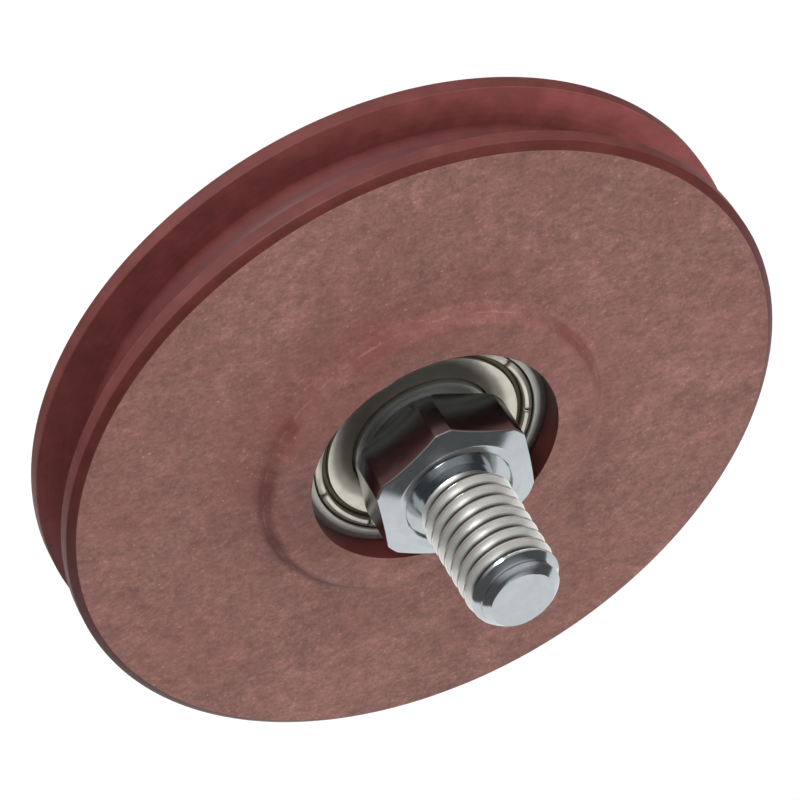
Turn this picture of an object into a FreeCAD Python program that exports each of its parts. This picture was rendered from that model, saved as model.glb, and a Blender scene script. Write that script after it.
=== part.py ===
import FreeCAD, Part
import math
import os

from FreeCAD import Vector

# Rope pulley on a shielded ball bearing, with a hexagon axle and a threaded stud.
# The wheel turns about Y. The stud points along -Y, and the origin is the wheel's centre.

# Wheel: one moulded disc with a rope groove, a raised boss on each side and a bearing bore
wheel_diameter = 62.0
wheel_width = 9.0
edge_chamfer_width = 0.5
edge_chamfer_depth = 0.65
groove_mouth = 5.5
groove_wall_draft = 0.15
groove_wall_depth = 3.9
groove_round_radius = 3.2
groove_lip_radius = 0.2
groove_corner_radius = 0.4
boss_diameter = 29.0
boss_height = 1.2
boss_top_round = 0.4
boss_foot_round = 0.7
bore_lip = 0.2
shoulder_overlap = 1.0

# Ball bearing of 8 x 22 x 7 mm
bearing_bore = 8.0
bearing_outside = 22.0
bearing_width = 7.0
ring_chamfer = 0.3
outer_slope_width = 0.75
outer_slope_depth = 0.35
ball_diameter = 3.969
ball_count = 7
ball_clearance = 0.03
raceway_ratio = 0.52
inner_land_depth = 1.45
outer_land_depth = 1.4
shield_seat_wall = 1.3
shield_seat_depth = 1.0

# Shields: pressed plate with a channel and a crimped edge that is cut by short slits
shield_thickness = 0.25
shield_inner_gap = 0.2
shield_seat_gap = 0.05
shield_plate_depth = 0.4
shield_channel_depth = 0.65
shield_channel_width = 0.4
shield_channel_slope = 0.15
shield_crown_width = 0.7
shield_crown_depth = 0.12
slit_count = 9
slit_width = 0.25
slit_angle = -1.9

# Cage: two pressed halves, riveted between the balls
cage_thickness = 0.3
cage_band_width = 1.5
cage_ball_clearance = 0.08
rivet_shank_diameter = 0.7
rivet_hole_clearance = 0.05
rivet_head_diameter = 1.3
rivet_head_height = 0.3

# Axle: stud, hexagon, collar and journal, turned from one bar
stud_diameter = 7.9
stud_length = 12.07
stud_end_diameter = 5.4
stud_end_length = 2.1
stud_end_bulge = 0.3
hexagon_across_flats = 13.0
hexagon_height = 5.13
hexagon_face_diameter = 10.8
hexagon_front_slope = 0.4
hexagon_corner_diameter = 14.3
hexagon_back_chamfer = 0.25
hexagon_corner_angle = 39.4
recess_diameter = 9.2
recess_depth = 0.4
neck_diameter = 6.5
neck_length = 0.85
collar_diameter = 11.4
collar_length = 1.7
journal_clearance = 0.01
journal_end_chamfer = 0.4
journal_end_beyond_ring = 0.9

# Washer and retaining ring on the journal's far end
washer_diameter = 12.0
washer_thickness = 0.8
washer_clearance = 0.1
retainer_thickness = 0.8
retainer_groove_clearance = 0.05
retainer_groove_diameter = 7.6
retainer_inner_clearance = 0.05
retainer_band = 1.25
retainer_gap_angle = 44.0
retainer_lug_radius = 1.35
retainer_hole_radius = 0.6
retainer_gap_direction = 90.0

# How far a cutting shape reaches past the face it cuts
cutter_reach = 1.0

AXIS = Vector(0, 1, 0)
ORIGIN = Vector(0, 0, 0)

# Places along the axis
wheel_half = wheel_width / 2
boss_face = wheel_half + boss_height
bearing_half = bearing_width / 2
collar_face = -bearing_half - collar_length
hexagon_face = collar_face - hexagon_height
stud_tip = hexagon_face - stud_length
washer_back = bearing_half + washer_thickness
retainer_start = washer_back
retainer_end = retainer_start + retainer_thickness
groove_start = retainer_start - retainer_groove_clearance
groove_end = retainer_end + retainer_groove_clearance
journal_end = groove_end + journal_end_beyond_ring

# Bearing radii
bore_radius = bearing_outside / 2
journal_radius = bearing_bore / 2 - journal_clearance
ball_radius = ball_diameter / 2
pitch_radius = (bearing_bore + bearing_outside) / 4
raceway_radius = raceway_ratio * ball_diameter
inner_land_radius = pitch_radius - inner_land_depth
outer_land_radius = pitch_radius + outer_land_depth
shield_seat_radius = bore_radius - shield_seat_wall
shield_inner_radius = inner_land_radius + shield_inner_gap
shield_outer_radius = shield_seat_radius - shield_seat_gap


def point(radius, y):
    """A point in the half plane that the turned shapes are drawn in."""
    return Vector(radius, y, 0)


def around(radius, degrees, y):
    """A point at a radius and an angle about the axis, from +X towards +Z."""
    angle = math.radians(degrees)
    return Vector(radius * math.cos(angle), y, radius * math.sin(angle))


def outline(points):
    """Closed wire of straight runs through (radius, y) pairs."""
    corners = [point(radius, y) for radius, y in points]
    return Part.makePolygon(corners + [corners[0]])


def turned(wire):
    """Solid of revolution of a closed wire about the wheel's axis."""
    return Part.Face(wire).revolve(ORIGIN, AXIS, 360)


def turned_outline(points):
    return turned(outline(points))


def disc(radius, y_start, y_end):
    """Cylinder on the axis from one place to another."""
    return Part.makeCylinder(radius, y_end - y_start, point(0, y_start), AXIS)


def about_axis(shape, degrees):
    """Copy of a shape, turned about the axis from +X towards +Z."""
    copy = shape.copy()
    copy.rotate(ORIGIN, AXIS, -degrees)
    return copy


def mirrored(shape):
    """Copy of a shape, reflected to the wheel's other side."""
    return shape.mirror(ORIGIN, AXIS)


def edges_at(shape, radius, y):
    """Circular edges of a turned shape that have one radius and one place along the axis."""
    found = []
    for edge in shape.Edges:
        if not isinstance(edge.Curve, Part.Circle):
            continue
        same_radius = abs(edge.Curve.Radius - radius) < 1e-4
        same_place = abs(edge.Curve.Center.y - y) < 1e-4
        if same_radius and same_place:
            found.append(edge)
    return found


def rounded(shape, radius, places):
    """Fillets the circular edges at the given (radius, y) places."""
    edges = []
    for edge_radius, y in places:
        edges += edges_at(shape, edge_radius, y)
    return shape.makeFillet(radius, edges)


def rope_groove():
    """Ring cut from the rim: two nearly parallel walls and a round bottom."""
    rim = wheel_diameter / 2
    mouth_half = groove_mouth / 2
    floor_half = mouth_half - groove_wall_draft
    wall_end = rim - groove_wall_depth
    round_centre = wall_end + math.sqrt(groove_round_radius ** 2 - floor_half ** 2)
    bottom = round_centre - groove_round_radius
    above = rim + cutter_reach
    drift = groove_wall_draft / groove_wall_depth * cutter_reach
    walls = [
        point(wall_end, -floor_half),
        point(above, -mouth_half - drift),
        point(above, mouth_half + drift),
        point(wall_end, floor_half),
    ]
    runs = Part.makePolygon(walls)
    arc = Part.Arc(walls[-1], point(bottom, 0), walls[0]).toShape()
    return turned(Part.Wire(runs.Edges + [arc]))


def pulley_wheel():
    rim = wheel_diameter / 2
    boss = boss_diameter / 2
    shoulder = bore_radius - shoulder_overlap
    lip = bore_radius - bore_lip
    chamfer_start = wheel_half - edge_chamfer_width
    chamfer_end = rim - edge_chamfer_depth
    body = turned_outline([
        (bore_radius, -bearing_half),
        (lip, -bearing_half),
        (lip, -boss_face),
        (boss, -boss_face),
        (boss, -wheel_half),
        (chamfer_end, -wheel_half),
        (rim, -chamfer_start),
        (rim, chamfer_start),
        (chamfer_end, wheel_half),
        (boss, wheel_half),
        (boss, boss_face),
        (shoulder, boss_face),
        (shoulder, bearing_half),
        (bore_radius, bearing_half),
    ])
    body = rounded(body, boss_foot_round, [(boss, -wheel_half), (boss, wheel_half)])
    body = rounded(body, boss_top_round, [(boss, -boss_face), (boss, boss_face)])
    body = body.cut(rope_groove())
    floor_half = groove_mouth / 2 - groove_wall_draft
    wall_end = rim - groove_wall_depth
    body = rounded(body, groove_corner_radius, [(wall_end, -floor_half), (wall_end, floor_half)])
    mouth_half = groove_mouth / 2
    return rounded(body, groove_lip_radius, [(rim, -mouth_half), (rim, mouth_half)])


def raceway(centre_radius):
    """Ring-shaped cutter that forms a raceway."""
    return Part.makeTorus(centre_radius, raceway_radius, ORIGIN, AXIS)


def bearing_outer_ring():
    land = outer_land_radius
    seat = shield_seat_radius
    seat_floor = bearing_half - shield_seat_depth
    slope_end = bearing_half - outer_slope_depth
    ring = turned_outline([
        (seat, -bearing_half),
        (bore_radius - outer_slope_width, -bearing_half),
        (bore_radius, -slope_end),
        (bore_radius, slope_end),
        (bore_radius - outer_slope_width, bearing_half),
        (seat, bearing_half),
        (seat, seat_floor),
        (land, seat_floor),
        (land, -seat_floor),
        (seat, -seat_floor),
    ])
    return ring.cut(raceway(pitch_radius + ball_radius + ball_clearance - raceway_radius))


def bearing_inner_ring():
    hole = bearing_bore / 2
    land = inner_land_radius
    chamfer_start = bearing_half - ring_chamfer
    ring = turned_outline([
        (hole + ring_chamfer, -bearing_half),
        (land, -bearing_half),
        (land, bearing_half),
        (hole + ring_chamfer, bearing_half),
        (hole, chamfer_start),
        (hole, -chamfer_start),
    ])
    return ring.cut(raceway(pitch_radius - ball_radius - ball_clearance + raceway_radius))


def ball_places():
    """Angle of each ball about the axis."""
    return [index * 360.0 / ball_count for index in range(ball_count)]


def ball_centre(degrees):
    return around(pitch_radius, degrees, 0)


def ball(degrees):
    return Part.makeSphere(ball_radius, ball_centre(degrees))


def between_balls():
    """Angle of each rivet, half way between two balls."""
    return [degrees + 180.0 / ball_count for degrees in ball_places()]


def cage_half():
    """Front half of the cage: a flat band with a pressed cup round each ball."""
    inner = pitch_radius - cage_band_width / 2
    outer = pitch_radius + cage_band_width / 2
    pocket_radius = ball_radius + cage_ball_clearance
    cup_radius = pocket_radius + cage_thickness
    envelope = disc(outer, -cup_radius, 0).cut(disc(inner, -cup_radius, 0))
    half = disc(outer, -cage_thickness, 0).cut(disc(inner, -cage_thickness, 0))
    cups = [Part.makeSphere(cup_radius, ball_centre(place)).common(envelope) for place in ball_places()]
    pockets = [Part.makeSphere(pocket_radius, ball_centre(place)) for place in ball_places()]
    half = half.fuse(cups).cut(pockets)
    holes = [rivet_hole(place) for place in between_balls()]
    return half.cut(holes).removeSplitter()


def rivet_hole(degrees):
    radius = rivet_shank_diameter / 2 + rivet_hole_clearance
    hole = Part.makeCylinder(radius, 2 * cage_thickness, Vector(pitch_radius, -cage_thickness, 0), AXIS)
    return about_axis(hole, degrees)


def cage_rivet(degrees):
    """Rivet with a low domed head on each side."""
    head = rivet_head_diameter / 2
    top = cage_thickness + rivet_head_height
    dome_radius = (head ** 2 + rivet_head_height ** 2) / (2 * rivet_head_height)
    dome = Part.makeSphere(dome_radius, point(0, dome_radius - top))
    front_head = dome.common(disc(dome_radius, -top, -cage_thickness))
    shank = disc(rivet_shank_diameter / 2, -cage_thickness, cage_thickness)
    rivet = shank.fuse([front_head, mirrored(front_head)]).removeSplitter()
    rivet.translate(Vector(pitch_radius, 0, 0))
    return about_axis(rivet, degrees)


def front_shield():
    """Pressed plate: flat disc, channel and crimped edge, cut by short radial slits."""
    face = -bearing_half
    crown_start = shield_outer_radius - shield_crown_width
    channel_end = crown_start - shield_channel_slope
    channel_floor = channel_end - shield_channel_width
    channel_start = channel_floor - shield_channel_slope
    crown_middle = (crown_start + shield_outer_radius) / 2
    skin = shield_thickness
    rim_start = face + shield_crown_depth + skin
    seat = face + shield_seat_depth
    plate = face + shield_plate_depth
    channel = face + shield_channel_depth
    outer_skin = Part.makePolygon([
        point(shield_inner_radius, plate),
        point(channel_start, plate),
        point(channel_floor, channel),
        point(channel_end, channel),
        point(crown_start, rim_start),
    ])
    outer_crown = Part.Arc(
        point(crown_start, rim_start),
        point(crown_middle, face + shield_crown_depth),
        point(shield_outer_radius, rim_start),
    )
    rim_wall = Part.makePolygon([
        point(shield_outer_radius, rim_start),
        point(shield_outer_radius, seat),
        point(shield_outer_radius - skin, seat),
        point(shield_outer_radius - skin, rim_start + skin / 2),
    ])
    inner_crown = Part.Arc(
        point(shield_outer_radius - skin, rim_start + skin / 2),
        point(crown_middle, face + shield_crown_depth + skin),
        point(crown_start + skin, rim_start + skin / 2),
    )
    inner_skin = Part.makePolygon([
        point(crown_start + skin, rim_start + skin / 2),
        point(channel_end + skin, channel + skin),
        point(channel_floor - skin, channel + skin),
        point(channel_start - skin, plate + skin),
        point(shield_inner_radius, plate + skin),
        point(shield_inner_radius, plate),
    ])
    edges = outer_skin.Edges + [outer_crown.toShape()] + rim_wall.Edges
    edges += [inner_crown.toShape()] + inner_skin.Edges
    shield = turned(Part.Wire(edges))
    slit_length = shield_outer_radius + shield_seat_gap - crown_start
    slit_corner = Vector(crown_start, face, -slit_width / 2)
    slit = Part.makeBox(slit_length, shield_channel_depth, slit_width, slit_corner)
    slits = [about_axis(slit, slit_angle + index * 360.0 / slit_count) for index in range(slit_count)]
    return shield.cut(slits)


def hexagon_prism():
    """Hexagon with round corners, a shallow cone at the front and a small chamfer at the back."""
    corner = hexagon_across_flats / math.sqrt(3)
    corners = [around(corner, hexagon_corner_angle + 60 * index, hexagon_face) for index in range(6)]
    prism = Part.Face(Part.makePolygon(corners + [corners[0]])).extrude(AXIS * hexagon_height)
    face_radius = hexagon_face_diameter / 2
    turned_radius = hexagon_corner_diameter / 2
    cone_end = hexagon_face + (turned_radius - face_radius) * hexagon_front_slope
    blank = turned_outline([
        (0, hexagon_face),
        (face_radius, hexagon_face),
        (turned_radius, cone_end),
        (turned_radius, collar_face - hexagon_back_chamfer),
        (turned_radius - hexagon_back_chamfer, collar_face),
        (0, collar_face),
    ])
    return prism.common(blank)


def stud_end():
    """Arc of the stud's rounded end, from the end face to the full diameter."""
    end = point(stud_end_diameter / 2, stud_tip)
    full = point(stud_diameter / 2, stud_tip + stud_end_length)
    chord = full - end
    outwards = Vector(chord.y, -chord.x, 0).normalize()
    middle = (end + full) / 2 + outwards * stud_end_bulge
    return Part.Arc(end, middle, full).toShape()


def axle():
    stud = stud_diameter / 2
    neck = neck_diameter / 2
    end = stud_end_diameter / 2
    recess_floor = hexagon_face + recess_depth
    neck_end = recess_floor - neck_length
    collar = collar_diameter / 2
    groove = retainer_groove_diameter / 2
    journal_tip = journal_radius - journal_end_chamfer
    recess = disc(recess_diameter / 2, hexagon_face, recess_floor)
    head = hexagon_prism().cut(recess)
    profile = [
        (stud, stud_tip + stud_end_length),
        (stud, neck_end - (stud - neck)),
        (neck, neck_end),
        (neck, collar_face),
        (collar, collar_face),
        (collar, -bearing_half),
        (journal_radius, -bearing_half),
        (journal_radius, groove_start),
        (groove, groove_start),
        (groove, groove_end),
        (journal_radius, groove_end),
        (journal_radius, journal_end - journal_end_chamfer),
        (journal_tip, journal_end),
        (0, journal_end),
        (0, stud_tip),
        (end, stud_tip),
    ]
    runs = Part.makePolygon([point(radius, y) for radius, y in profile])
    core = turned(Part.Wire([stud_end()] + runs.Edges))
    return head.fuse(core).removeSplitter()


def thrust_washer():
    hole = journal_radius + washer_clearance
    return disc(washer_diameter / 2, bearing_half, washer_back).cut(disc(hole, bearing_half, washer_back))


def retaining_ring():
    """Open snap ring with a pierced lug at each end."""
    inner = retainer_groove_diameter / 2 + retainer_inner_clearance
    outer = inner + retainer_band
    lug_centre = inner + retainer_lug_radius
    half_gap = retainer_gap_angle / 2
    ring = disc(outer, retainer_start, retainer_end)
    lugs = []
    holes = []
    for side in (-1, 1):
        centre = around(lug_centre, retainer_gap_direction + side * half_gap, retainer_start)
        lugs.append(Part.makeCylinder(retainer_lug_radius, retainer_thickness, centre, AXIS))
        holes.append(Part.makeCylinder(retainer_hole_radius, retainer_thickness, centre, AXIS))
    reach = lug_centre + retainer_lug_radius
    opening = half_gap - math.degrees(retainer_lug_radius / lug_centre) / 2
    tip = point(0, retainer_start)
    ends = [around(reach, retainer_gap_direction + side * opening, retainer_start) for side in (-1, 1)]
    wedge_base = Part.makePolygon([tip] + ends + [tip])
    wedge = Part.Face(wedge_base).extrude(AXIS * retainer_thickness)
    ring = ring.fuse(lugs).cut(wedge).cut(disc(inner, retainer_start, retainer_end))
    return ring.cut(holes).removeSplitter()


def all_nodes():
    """Every sub-part by its node's name."""
    cage_front = cage_half()
    nodes = {
        "pulley_wheel": pulley_wheel(),
        "bearing_outer_ring": bearing_outer_ring(),
        "bearing_inner_ring": bearing_inner_ring(),
        "cage_front": cage_front,
        "cage_rear": mirrored(cage_front),
        "cage_rivets": Part.makeCompound([cage_rivet(place) for place in between_balls()]),
        "front_shield": front_shield(),
        "rear_shield": mirrored(front_shield()),
        "axle": axle(),
        "thrust_washer": thrust_washer(),
        "retaining_ring": retaining_ring(),
    }
    for number, place in enumerate(ball_places(), start=1):
        nodes[f"ball_{number}"] = ball(place)
    return nodes


def main():
    os.makedirs("parts", exist_ok=True)
    for name, shape in all_nodes().items():
        shape.exportStep(f"parts/{name}.step")
        box = shape.BoundBox
        print(f"{name}: {len(shape.Solids)} solids, {shape.Volume:.2f} mm3, valid {shape.isValid()}, "
              f"y {box.YMin:.2f} to {box.YMax:.2f}")


main()
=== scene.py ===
import math
import types

import bmesh
import bpy
from bpy.props import FloatProperty, FloatVectorProperty, PointerProperty
from mathutils import Matrix, Vector


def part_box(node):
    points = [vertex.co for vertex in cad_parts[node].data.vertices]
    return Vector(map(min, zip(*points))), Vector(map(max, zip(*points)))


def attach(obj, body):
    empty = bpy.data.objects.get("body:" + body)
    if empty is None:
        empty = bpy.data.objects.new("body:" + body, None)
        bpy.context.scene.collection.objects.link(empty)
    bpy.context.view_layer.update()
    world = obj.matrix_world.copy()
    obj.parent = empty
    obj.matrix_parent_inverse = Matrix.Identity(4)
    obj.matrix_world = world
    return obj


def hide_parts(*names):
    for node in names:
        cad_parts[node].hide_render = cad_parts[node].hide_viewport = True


bl_info = {
    "name": "Rope pulley",
    "version": (1, 0, 0),
    "blender": (4, 5, 0),
    "location": "View3D > Sidebar > Rope pulley",
    "description": "Dresses a rope pulley with a ball bearing and a threaded stud",
    "category": "Add Mesh",
}

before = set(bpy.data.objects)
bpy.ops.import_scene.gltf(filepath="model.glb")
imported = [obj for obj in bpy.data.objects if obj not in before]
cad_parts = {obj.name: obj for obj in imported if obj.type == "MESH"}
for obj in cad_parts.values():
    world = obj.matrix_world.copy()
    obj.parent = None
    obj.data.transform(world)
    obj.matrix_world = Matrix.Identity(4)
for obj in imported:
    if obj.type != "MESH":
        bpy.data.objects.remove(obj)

MM = 0.001
AXIS = Vector((0, 1, 0))
CENTRE = Vector((0, 0, 0))
FULL_TURN = 2 * math.pi
BLACK = (0.0, 0.0, 0.0, 1.0)
WHITE = (1.0, 1.0, 1.0, 1.0)

# Corners nearer than this are one corner, in metres: on a turned piece, and on a thread or a stored mesh
WELD = 1e-7
WIDE_WELD = 1e-6
# How far apart two places still count as the same, in millimetres
SAME_PLACE = 1e-3


def extent(node, axis):
    """Lowest and highest place of a CAD node along one axis, in millimetres."""
    low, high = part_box(node)
    return low[axis] / MM, high[axis] / MM


# Sizes that the frame gives, in millimetres
RIM_RADIUS = extent("pulley_wheel", 0)[1]
BOSS_FACE = extent("pulley_wheel", 1)[1]
BEARING_HALF = extent("bearing_outer_ring", 1)[1]
BORE_RADIUS = extent("bearing_outer_ring", 0)[1]
STUD_TIP, JOURNAL_END = extent("axle", 1)
WASHER_BACK = extent("thrust_washer", 1)[1]

# The ball bearing: its hole, the circle of the balls' middles, their play and the raceway's radius in balls
BEARING_HOLE = 4.0
BALL_CIRCLE = 7.5
BALL_PLAY = 0.03
RACEWAY_SHARE = 0.52

# The hexagon: its front is a flat ring round the stud, then a shallow cone out to the flats
HEXAGON_BACK = -5.2
HEXAGON_FACE = -10.33
FACE_RADIUS = 5.4
FRONT_SLOPE = 0.4

# The photograph's camera: place in metres, its axes, and its lens and film in millimetres
CAMERA_PLACE = Vector((-0.10292, -0.23472, 0.25948))
CAMERA_RIGHT = Vector((0.916827, -0.399284, 0))
CAMERA_UP = Vector((0.283308, 0.650525, 0.704666))
CAMERA_BACK = Vector((-0.281362, -0.646057, 0.709540))
CAMERA_LENS = 202.5
CAMERA_FILM = 36.0

# Lamps in metres: name, place, side, and whether polished pieces mirror it
KEY_LIGHT = ("key_light", (-0.25, -0.08, 0.6), 0.22, True)
FRONT_LIGHT = ("front_light", (0.42, -0.62, 0.08), 0.5, False)
BACK_LIGHT = ("back_light", (-0.45, 0.5, 0.3), 0.5, False)


# Colours and nodes

def srgb(code):
    """Linear colour of an sRGB hex code."""
    parts = [int(code[place:place + 2], 16) / 255 for place in (1, 3, 5)]
    return [part / 12.92 if part <= 0.04045 else ((part + 0.055) / 1.055) ** 2.4 for part in parts] + [1.0]


def add_node(tree, kind, inputs=None, output=0, stops=(), **settings):
    """Adds a node with its settings, socket values or links and ramp stops, and gives one output."""
    node = tree.nodes.new(kind)
    for name, value in settings.items():
        setattr(node, name, value)
    for socket, value in (inputs or {}).items():
        if isinstance(value, bpy.types.NodeSocket):
            tree.links.new(value, node.inputs[socket])
        else:
            node.inputs[socket].default_value = value
    while stops and len(node.color_ramp.elements) < len(stops):
        node.color_ramp.elements.new(0.5)
    for index, (place, colour) in enumerate(stops):
        node.color_ramp.elements[index].position = place
        node.color_ramp.elements[index].color = colour
    return node.outputs[output]


def new_material(name, values):
    """Material with one principled shader, and the shader's values set on it."""
    material = bpy.data.materials.new(name)
    material.use_nodes = True
    tree = material.node_tree
    shader = tree.nodes["Principled BSDF"]
    for socket, value in values.items():
        shader.inputs[socket].default_value = value
    return material, tree, shader


def link_shader(tree, shader, links):
    """Joins patterns to the shader's sockets."""
    for socket, source in links.items():
        tree.links.new(source, shader.inputs[socket])


def picked(name, brightness=1.0):
    """Colour chosen in the settings, made darker or lighter."""
    chosen = getattr(bpy.context.scene.rope_pulley_colours, name)
    return [min(1.0, part * brightness) for part in chosen] + [1.0]


def place_on_piece(tree):
    """The point on the piece, in metres, that every pattern is worked out from."""
    return add_node(tree, "ShaderNodeTexCoord", output="Object")


def across(size_mm):
    """Scale of a noise whose blotches are about size_mm across."""
    return 1 / (size_mm * MM)


def radius_and_depth(tree, vector):
    """Distance from the axis and the place along it."""
    parts = add_node(tree, "ShaderNodeSeparateXYZ", {"Vector": vector}).node.outputs
    flat = add_node(tree, "ShaderNodeCombineXYZ", {"X": parts["X"], "Z": parts["Z"]})
    radius = add_node(tree, "ShaderNodeVectorMath", {0: flat}, output="Value", operation="LENGTH")
    return radius, parts["Y"]


def turning_lines(tree, vector, pitch_mm):
    """Lines that run round the axis, as a lathe tool leaves them."""
    radius, depth = radius_and_depth(tree, vector)
    both = add_node(tree, "ShaderNodeCombineXYZ", {"X": radius, "Y": depth})
    return add_node(tree, "ShaderNodeTexNoise",
                    {"Vector": both, "Scale": across(pitch_mm), "Detail": 3.0, "Roughness": 0.6})


def product(tree, *values):
    """Several values multiplied together."""
    total = values[0]
    for value in values[1:]:
        total = add_node(tree, "ShaderNodeMath", {0: total, 1: value}, operation="MULTIPLY")
    return total


def weighted_sum(tree, weighted):
    """Sum of values, each times its weight."""
    total = 0.0
    for value, weight in weighted:
        total = add_node(tree, "ShaderNodeMath", {0: value, 1: weight, 2: total}, operation="MULTIPLY_ADD")
    return total


def band(tree, value, start, end, soft):
    """1 between two values and 0 outside them, with soft ends."""
    return product(tree, *[
        add_node(tree, "ShaderNodeMapRange", {"Value": value, "From Min": low, "From Max": high})
        for low, high in ((start - soft, start + soft), (end + soft, end - soft))])


def coated(tree, colour, coats):
    """A colour with coats over it, each given by how much of it shows and its sRGB code."""
    for amount, code in coats:
        colour = add_node(tree, "ShaderNodeMix", {0: amount, 6: colour, 7: srgb(code)}, output=2,
                          data_type="RGBA")
    return colour


def relief(tree, layers):
    """Normal of a surface with layers of height, each a pattern, its depth in mm and its strength."""
    inputs = {}
    for height, depth_mm, strength in layers:
        inputs.update({"Height": height, "Distance": depth_mm * MM, "Strength": strength})
        inputs["Normal"] = add_node(tree, "ShaderNodeBump", inputs)
    return inputs["Normal"]


def moulded_phenolic():
    """Fibre-filled phenolic, compression moulded: chopped fibres give the eye a matt, mottled red-brown."""
    material, tree, shader = new_material("moulded_phenolic", {"Roughness": 0.62, "Specular IOR Level": 0.3})
    spot = place_on_piece(tree)
    radius, _ = radius_and_depth(tree, spot)
    wide = add_node(tree, "ShaderNodeMapping", {"Vector": spot, "Scale": (1.0, 1.0, 1.15)})
    long = add_node(tree, "ShaderNodeMapping", {"Vector": spot, "Scale": (0.75, 1.0, 1.2)})
    clouds, patches, fibres, grains, blush, painted = [
        add_node(tree, "ShaderNodeTexNoise",
                 {"Vector": vector, "Scale": across(size), "Detail": detail, "Roughness": rough})
        for vector, size, detail, rough in (
            (spot, 8.0, 3.0, 0.6),
            (wide, 2.1, 5.0, 0.68),
            (long, 0.65, 4.0, 0.65),
            (spot, 0.26, 2.0, 0.6),
            (spot, 11.0, 4.0, 0.5),
            (spot, 7.0, 2.0, 0.5),
        )]
    parts = add_node(tree, "ShaderNodeSeparateXYZ", {"Vector": spot}).node.outputs
    # Distance towards the upper left, which places the painted shade near the hub
    towards_upper_left = weighted_sum(tree, [(parts["X"], -0.5), (parts["Z"], 0.85)])
    ruddy, inwards, shaded_upper_left, cloudy, painted_light, specks, ends, lined, patchy = [
        add_node(tree, "ShaderNodeMapRange",
                 {"Value": value, "From Min": start, "From Max": end, "To Max": most})
        for value, start, end, most in (
            (blush, 0.42, 0.66, 0.3),
            (radius, 22.0 * MM, 13.5 * MM, 1.0),
            (towards_upper_left, -4.0 * MM, 12.0 * MM, 0.75),
            (clouds, 0.3, 0.62, 1.0),
            (painted, 0.48, 0.6, 0.45),
            (grains, 0.7, 0.78, 0.6),
            (fibres, 0.68, 0.75, 0.5),
            (turning_lines(tree, spot, 0.35), 0.6, 0.68, 0.35),
            (patches, 0.45, 0.6, 1.0),
        )]
    # Painted shade: a dark ring at the boss's edge, in patches, as the shade of its step on the face
    boss_step_shade = band(tree, radius, 14.1 * MM, 15.1 * MM, 0.2 * MM)
    mottle = weighted_sum(tree, [(clouds, 0.15), (patches, 0.3), (fibres, 0.3), (grains, 0.25)])
    skin = add_node(tree, "ShaderNodeValToRGB", {"Fac": mottle},
                    stops=[(place, picked("moulded", brightness)) for place, brightness in (
                        (0.4, 0.66), (0.46, 0.86), (0.5, 1.0), (0.54, 1.14), (0.6, 1.5))])
    colour = coated(tree, skin, [
        (ruddy, "#7C4B46"),
        # Painted shade: a darker red near the hub, on its upper-left side only
        (product(tree, inwards, shaded_upper_left, cloudy), "#743F3B"),
        # Painted shade at the boss's edge, part even and part in patches
        (product(tree, boss_step_shade, 0.15), "#633532"),
        (product(tree, boss_step_shade, painted_light), "#5F2C29"),
        (specks, "#C2A8A2"),
        (ends, "#B08F88"),
        (product(tree, lined, patchy, inwards), "#B0918A"),
    ])
    arcs = turning_lines(tree, spot, 0.9)
    normal = relief(tree, [(grains, 0.02, 0.5), (patches, 0.05, 0.4), (arcs, 0.03, 0.25)])
    link_shader(tree, shader, {"Base Color": colour, "Normal": normal})
    return material


def turned_phenolic(name, chosen, roughness, painted_light=None):
    """Phenolic cut on a lathe: smoother and redder than the moulded skin, with a soft sheen and faint lines.

    The last argument gives the radii in millimetres where the painted shade and sheen are full and where
    they end, and their colour.
    """
    material, tree, shader = new_material(name, {"Roughness": roughness, "Specular IOR Level": 0.2})
    spot = place_on_piece(tree)
    lines = turning_lines(tree, spot, 0.3)
    patches = add_node(tree, "ShaderNodeTexNoise",
                       {"Vector": spot, "Scale": across(2.5), "Detail": 5.0, "Roughness": 0.6})
    dark, middle, light = [picked(chosen, brightness) for brightness in (0.82, 1.0, 1.28)]
    patched = add_node(tree, "ShaderNodeValToRGB", {"Fac": patches},
                       stops=[(0.35, dark), (0.5, middle), (0.68, light)])
    lined = add_node(tree, "ShaderNodeValToRGB", {"Fac": lines}, stops=[(0.35, dark), (0.65, light)])
    colour = add_node(tree, "ShaderNodeMix", {0: 0.25, 6: patched, 7: lined}, output=2, data_type="RGBA")
    if painted_light is not None:
        full, end, code = painted_light
        radius, _ = radius_and_depth(tree, spot)
        # Painted shade and sheen: the colour darkens towards the smaller radii, the groove's bottom
        painted_light_share = add_node(tree, "ShaderNodeMapRange",
                        {"Value": radius, "From Min": end * MM, "From Max": full * MM, "To Max": 0.6})
        colour = coated(tree, colour, [(painted_light_share, code)])
    link_shader(tree, shader, {"Base Color": colour, "Normal": relief(tree, [(lines, 0.008, 0.4)])})
    return material


def cut_phenolic():
    """Chamfers and bore: freshly cut, so dark, red and half gloss."""
    return turned_phenolic("cut_phenolic", "cut", 0.45)


def groove_phenolic():
    """Groove: cut phenolic painted a little paler as painted light, with a soft sheen, and a painted darker
    purple-grey shade and sheen at its bottom.
    """
    return turned_phenolic("groove_phenolic", "groove", 0.42, painted_light=(26.5, 27.4, "#55363A"))


def rim_phenolic():
    """Rim lands: a paler copy of the cut phenolic, painted light for the light that falls on them."""
    return turned_phenolic("rim_phenolic", "rim", 0.5)


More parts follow.
